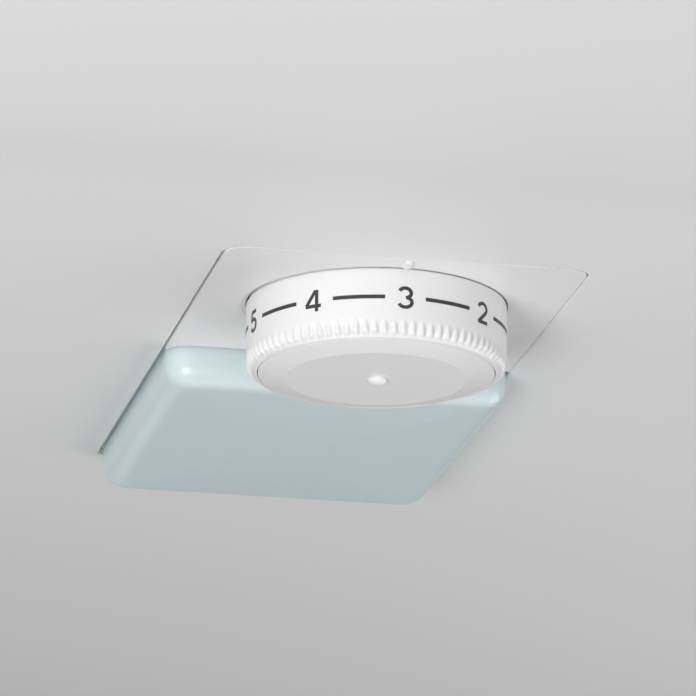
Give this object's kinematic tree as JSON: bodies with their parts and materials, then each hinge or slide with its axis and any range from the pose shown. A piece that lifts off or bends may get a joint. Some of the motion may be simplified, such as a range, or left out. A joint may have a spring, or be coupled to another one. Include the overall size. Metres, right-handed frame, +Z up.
{
  "type": "refrigerator ceiling thermostat with lamp",
  "caption": "Flush rectangular ceiling unit with a ribbed round temperature dial and a tinted lamp lens that swings down; thermostat and lamp sit in a recessed housing.",
  "frame": {"origin": "on the dial's axis, in the plane of the plate's visible lower face, which is flush with the ceiling that holds the unit", "axes": "+Z up into the recess, +Y from the dial towards the lens, X across the plate; the visible side looks down -Z"},
  "size_m": [0.0624, 0.132, 0.0595],
  "materials": {
    "plate_white": "white ABS, fine satin grain",
    "dial_white": "white ABS, soft gloss",
    "lens_blue": "pale blue milky translucent polystyrene",
    "casing_grey": "off-white moulded polypropylene",
    "foam_black": "closed-cell foam",
    "zinc_steel": "zinc plated pressed steel",
    "brass": "plain brass",
    "copper": "copper, lightly dulled",
    "nylon": "natural nylon",
    "bakelite": "dark brown phenolic moulding",
    "ceramic": "glazed porcelain",
    "glass": "clear blown glass",
    "aluminium": "bright rolled aluminium",
    "tungsten": "fine tungsten coil",
    "rubber": "black moulded rubber",
    "wire_brown": "brown PVC insulation"
  },
  "bodies": {
    "fixture": {"front_plate": "plate_white", "seal_gasket": "foam_black", "rear_housing": "casing_grey", "fixing_screw_left": "zinc_steel", "fixing_screw_right": "zinc_steel", "thermostat_bracket": "zinc_steel", "shaft_bush": "brass", "thermostat_screw_left": "zinc_steel", "thermostat_screw_right": "zinc_steel", "follower_pin": "zinc_steel", "lever_pin": "zinc_steel", "bellows": "copper", "bellows_cup": "copper", "bellows_bridge": "zinc_steel", "capillary_tube": "copper", "capillary_gland": "rubber", "switch_base": "bakelite", "switch_cover": "bakelite", "fixed_contact": "zinc_steel", "terminal_supply": "brass", "terminal_compressor": "brass", "terminal_lamp": "brass", "lamp_holder": "ceramic", "holder_shell": "brass", "holder_contact": "brass", "bulb_cap": "aluminium", "bulb_glass": "glass", "bulb_stem": "glass", "bulb_filament": "tungsten", "reflector": "aluminium", "cable_grommet": "rubber", "lead_supply": "wire_brown", "lead_lamp": "wire_brown"},
    "dial": {"dial_shell": "dial_white", "dial_face": "dial_white", "dial_clip": "zinc_steel", "control_shaft": "brass", "shaft_circlip": "zinc_steel", "control_cam": "nylon"},
    "follower": {"follower_lever": "zinc_steel"},
    "sensing_lever": {"main_lever": "zinc_steel", "range_spring": "zinc_steel"},
    "pusher": {"push_rod": "nylon"},
    "contact_arm": {"contact_blade": "brass", "moving_contact": "zinc_steel"},
    "lens": {"lamp_lens": "lens_blue", "lens_pin_left": "zinc_steel", "lens_pin_right": "zinc_steel"}
  },
  "joints": [
    {"name": "dial_turn", "type": "hinge", "parent": "fixture", "child": "dial", "pos_m": [0, 0, 0], "axis": [0, 0, 1], "range_deg": [-122.57, 163.43]},
    {"name": "follower_tilt", "type": "hinge", "parent": "fixture", "child": "follower", "pos_m": [0, -0.0113, 0.018], "axis": [1, 0, 0], "range_deg": [-3.25, 4.27], "deforming": ["range_spring"]},
    {"name": "lever_tilt", "type": "hinge", "parent": "fixture", "child": "sensing_lever", "pos_m": [0, -0.0113, 0.0276], "axis": [-1, 0, 0], "range_deg": [0, 1.3], "stiffness_Nm_per_rad": 0.05, "springref_deg": -2.86},
    {"name": "rod_slide", "type": "slide", "parent": "fixture", "child": "pusher", "axis": [0, 0, -1], "range_m": [0, 0.000717]},
    {"name": "contact_tilt", "type": "hinge", "parent": "fixture", "child": "contact_arm", "pos_m": [-0.012, 0.022, 0.016], "axis": [0, 1, 0], "range_deg": [0, 3.33]},
    {"name": "lens_swing", "type": "hinge", "parent": "fixture", "child": "lens", "pos_m": [0, 0.1026, -0.0003], "axis": [1, 0, 0], "range_deg": [0, 70]}
  ],
  "couplings": [
    {"joint": "follower_tilt", "follows": "dial_turn", "ratio": 0.024912},
    {"joint": "rod_slide", "follows": "lever_tilt", "m_per_rad": 0.0303},
    {"joint": "contact_tilt", "follows": "lever_tilt", "ratio": 2.525}
  ]
}
